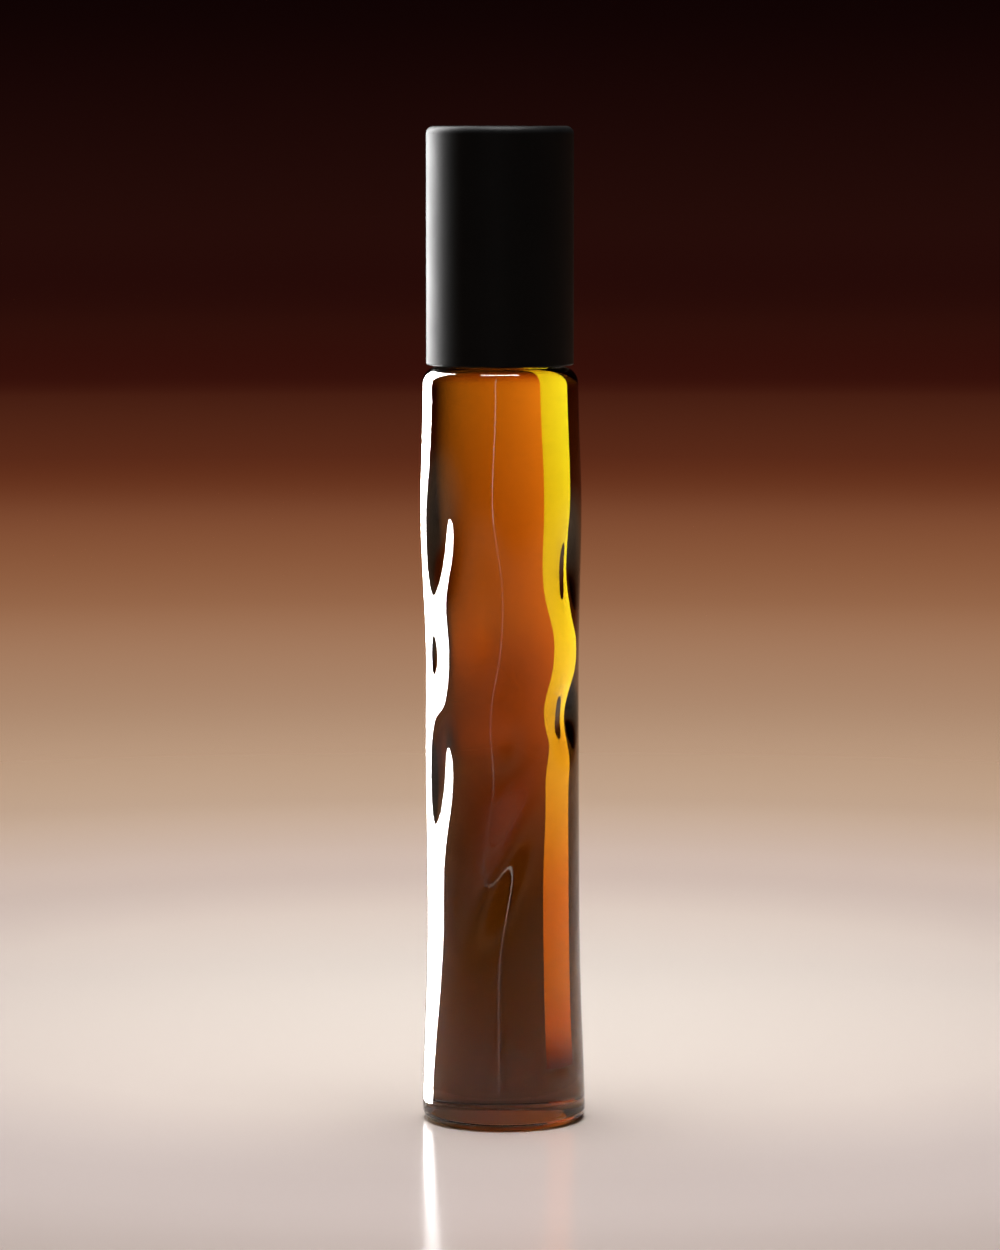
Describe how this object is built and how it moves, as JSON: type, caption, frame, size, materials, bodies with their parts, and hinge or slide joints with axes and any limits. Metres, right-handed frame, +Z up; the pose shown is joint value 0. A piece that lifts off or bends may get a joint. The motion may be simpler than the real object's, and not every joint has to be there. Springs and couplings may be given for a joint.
{
  "type": "roll-on bottle",
  "caption": "Slim roll-on bottle: sculpted amber glass, a steel ball in a press-in fitment, and a straight matte black screw cap that lifts off.",
  "frame": {"origin": "on the surface the bottle stands on, under the axis of the neck", "axes": "+Z up along the axis of the neck and cap, -Y towards the front, +X to the right seen from the front"},
  "size_m": [0.0192, 0.019, 0.1154],
  "materials": {
    "amber_glass": "polished",
    "fitment_plastic": "satin",
    "ball_steel": "polished",
    "pad_foam": "soft",
    "liner_plastic": "satin",
    "cap_plastic": "matte"
  },
  "bodies": {
    "bottle": {"glass_bottle": "amber_glass", "roller_fitment": "fitment_plastic"},
    "ball": {"roller_ball": "ball_steel"},
    "pad": {"sealing_pad": "pad_foam"},
    "cap": {"inner_cap": "liner_plastic", "cap_shell": "cap_plastic"}
  },
  "joints": [
    {"name": "ball_roll", "type": "hinge", "parent": "bottle", "child": "ball", "pos_m": [0, 0, 0.1032], "axis": [1, 0, 0], "continuous": true},
    {"name": "cap_lift", "type": "slide", "parent": "bottle", "child": "pad", "axis": [0, 0, 1], "range_m": [0, 0.03]},
    {"name": "cap_turn", "type": "hinge", "parent": "pad", "child": "cap", "pos_m": [0, 0, 0.1], "axis": [0, 0, 1], "range_deg": [0, 720]}
  ]
}
